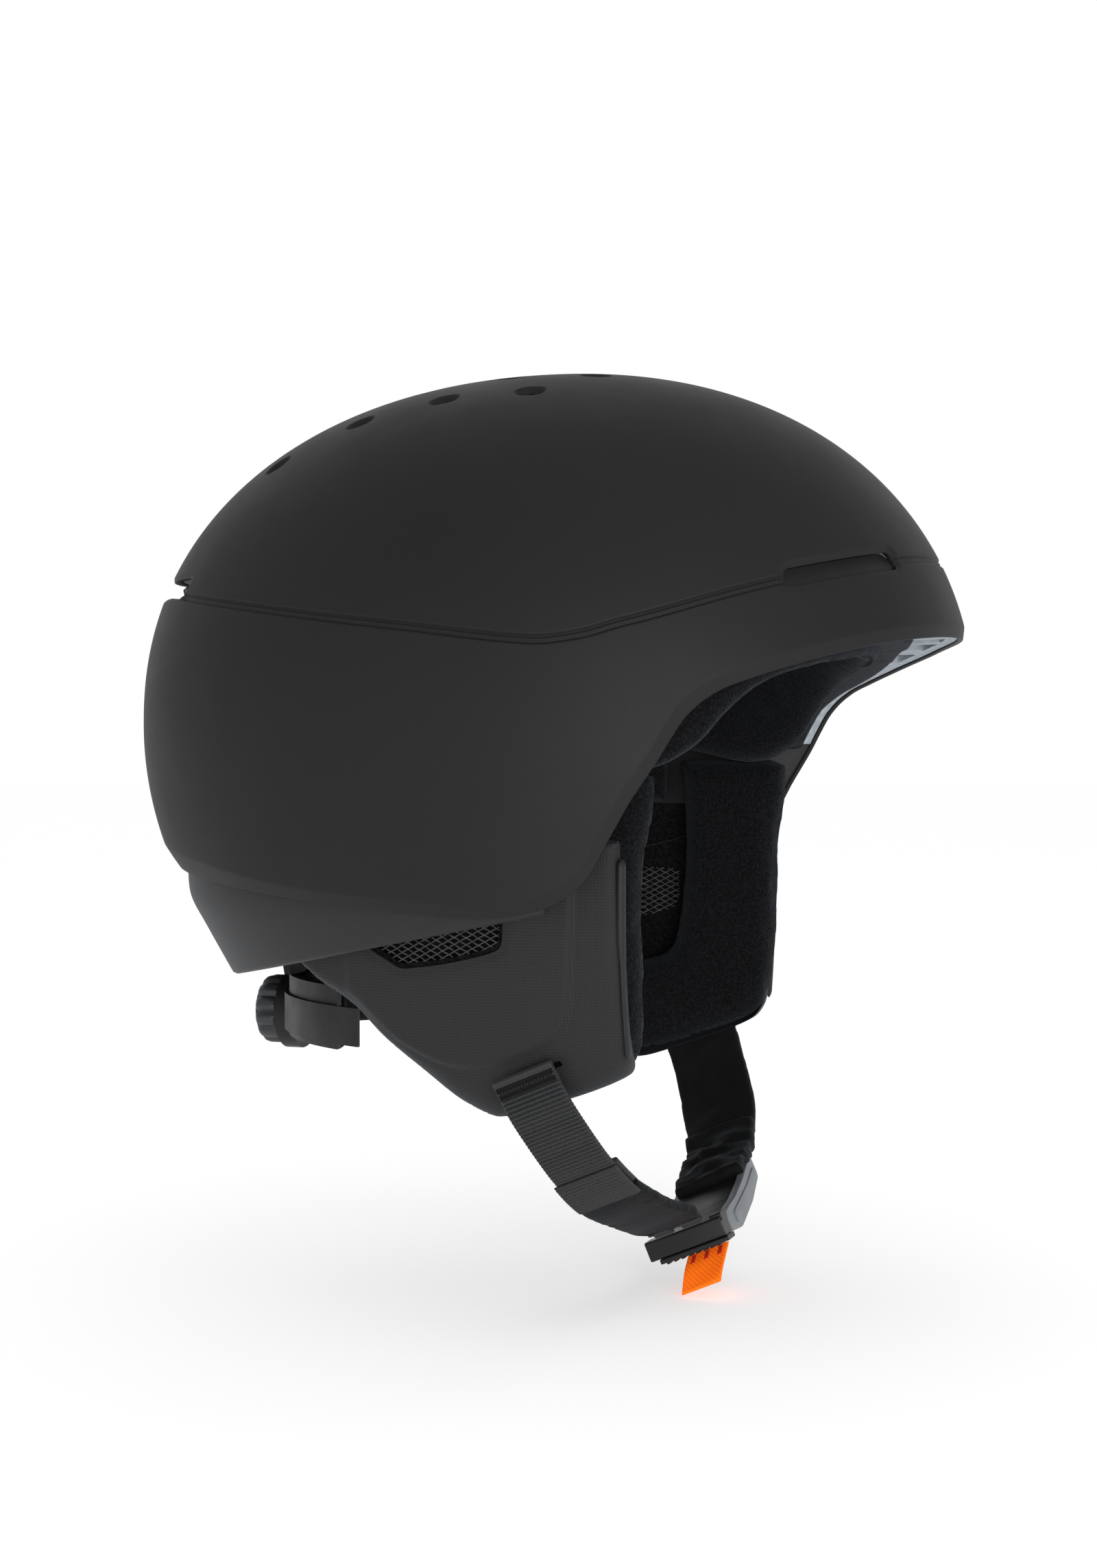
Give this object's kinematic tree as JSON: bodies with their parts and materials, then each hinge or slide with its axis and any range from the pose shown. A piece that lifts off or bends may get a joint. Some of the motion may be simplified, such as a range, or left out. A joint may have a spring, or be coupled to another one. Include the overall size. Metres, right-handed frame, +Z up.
{
  "type": "ski helmet",
  "caption": "Ski helmet with a two-part hard shell, foam liner, fabric ear pads, dial fit system and a padded chin strap closed by a magnetic buckle.",
  "frame": {"origin": "on the symmetry plane, inside the head cavity under the crown's highest point, at the level of the shell's widest section", "axes": "+Z up, +X to the wearer's left, the face looks along -Y"},
  "size_m": [0.224, 0.2728, 0.2956],
  "materials": {
    "shell_black": "matte injection-moulded shell, very dark",
    "trim_black": "moulded nylon, matte",
    "liner_grey": "expanded bead foam, light grey",
    "plush_black": "brushed plush over soft foam",
    "woven_black": "fine coated weave over foam",
    "mesh_black": "open diamond mesh",
    "edge_grey": "bound pad edge, grey",
    "hook_tape": "hook tape",
    "webbing_black": "ribbed polyester webbing",
    "sleeve_black": "smooth microfibre sleeve",
    "metal_bright": "bright plated metal",
    "buckle_black": "moulded nylon, satin",
    "arm_grey": "satin grey acetal",
    "knob_grey": "moulded nylon, dark grey",
    "tab_orange": "woven twill tape, orange"
  },
  "bodies": {
    "helmet": {"upper_shell": "shell_black", "lower_shell": "shell_black", "seam_strip": "trim_black", "foam_liner": "liner_grey", "neck_panel": "woven_black", "brow_vent_tray_left": "trim_black", "brow_vent_tray_right": "trim_black", "rear_vent_insert": "trim_black", "brow_pad": "plush_black", "crown_pad": "plush_black", "side_pad_left": "plush_black", "side_pad_right": "plush_black", "nape_pad": "plush_black", "hook_dots": "hook_tape", "temple_pad_left": "plush_black", "temple_pad_right": "plush_black", "ear_tab_left": "woven_black", "ear_tab_right": "woven_black", "strap_anchor_left": "webbing_black", "strap_anchor_right": "webbing_black", "strap_rivets": "metal_bright", "goggle_clip_base": "trim_black", "goggle_clip_pin": "metal_bright"},
    "fit_ring": {"cradle": "trim_black", "cradle_pad": "plush_black", "fit_band_left": "trim_black", "fit_band_right": "trim_black", "cradle_arm_left": "trim_black", "cradle_arm_right": "trim_black", "dial_housing": "trim_black"},
    "dial": {"dial_knob": "knob_grey", "dial_pinion": "knob_grey"},
    "goggle_clip": {"goggle_clip": "shell_black"},
    "ear_right": {"ear_cover_right": "woven_black", "ear_cushion_right": "plush_black", "ear_mesh_right": "mesh_black", "ear_edge_strip_right": "edge_grey", "strap_tail_right": "webbing_black"},
    "ear_left": {"ear_cover_left": "woven_black", "ear_cushion_left": "plush_black", "ear_mesh_left": "mesh_black", "ear_edge_strip_left": "edge_grey", "strap_tail_left": "webbing_black"},
    "strap_right": {"strap_web_right": "webbing_black", "strap_fold_right": "sleeve_black", "strap_sleeve_right": "sleeve_black", "strap_loops_right": "webbing_black", "buckle_bar": "buckle_black", "buckle_magnet_right": "metal_bright", "buckle_grip": "buckle_black"},
    "strap_left": {"strap_pad_left": "sleeve_black", "strap_fold_left": "sleeve_black", "strap_web_left": "webbing_black", "buckle_receiver": "buckle_black", "buckle_arm": "arm_grey", "buckle_magnet_left": "metal_bright", "buckle_stud": "metal_bright"},
    "pull_tab": {"pull_tab": "tab_orange"}
  },
  "joints": [
    {"name": "dial_turn", "type": "hinge", "parent": "fit_ring", "child": "dial", "pos_m": [0, 0.107, -0.097], "axis": [0, -1, 0], "range_deg": [0, 360]},
    {"name": "fit_slide", "type": "slide", "parent": "helmet", "child": "fit_ring", "axis": [0, -1, 0], "range_m": [0, 0.01]},
    {"name": "goggle_clip_lift", "type": "hinge", "parent": "helmet", "child": "goggle_clip", "pos_m": [0, 0.1436, 0.002], "axis": [1, 0, 0], "range_deg": [0, 25], "stiffness_Nm_per_rad": 0.1},
    {"name": "ear_right_flex", "type": "hinge", "parent": "helmet", "child": "ear_right", "pos_m": [-0.0986, -0.018, -0.05617], "axis": [0, 0.9781, -0.2083], "range_deg": [0, 15], "stiffness_Nm_per_rad": 2},
    {"name": "ear_left_flex", "type": "hinge", "parent": "helmet", "child": "ear_left", "pos_m": [0.0986, -0.018, -0.05617], "axis": [0, -0.9781, 0.2083], "range_deg": [0, 15], "stiffness_Nm_per_rad": 2},
    {"name": "strap_right_swing", "type": "hinge", "parent": "ear_right", "child": "strap_right", "pos_m": [-0.091, -0.01481, -0.10398], "axis": [0, 0.9205, -0.3907], "range_deg": [0, 55]},
    {"name": "strap_left_swing", "type": "hinge", "parent": "ear_left", "child": "strap_left", "pos_m": [0.091, -0.01481, -0.10398], "axis": [0, -0.9205, 0.3907], "range_deg": [0, 55]},
    {"name": "pull_tab_swing", "type": "hinge", "parent": "strap_right", "child": "pull_tab", "pos_m": [-0.0032, -0.04329, -0.17109], "axis": [0, 0.9205, -0.3907], "range_deg": [-35, 35]}
  ],
  "couplings": [
    {"joint": "dial_turn", "follows": "fit_slide", "rad_per_m": 628}
  ]
}
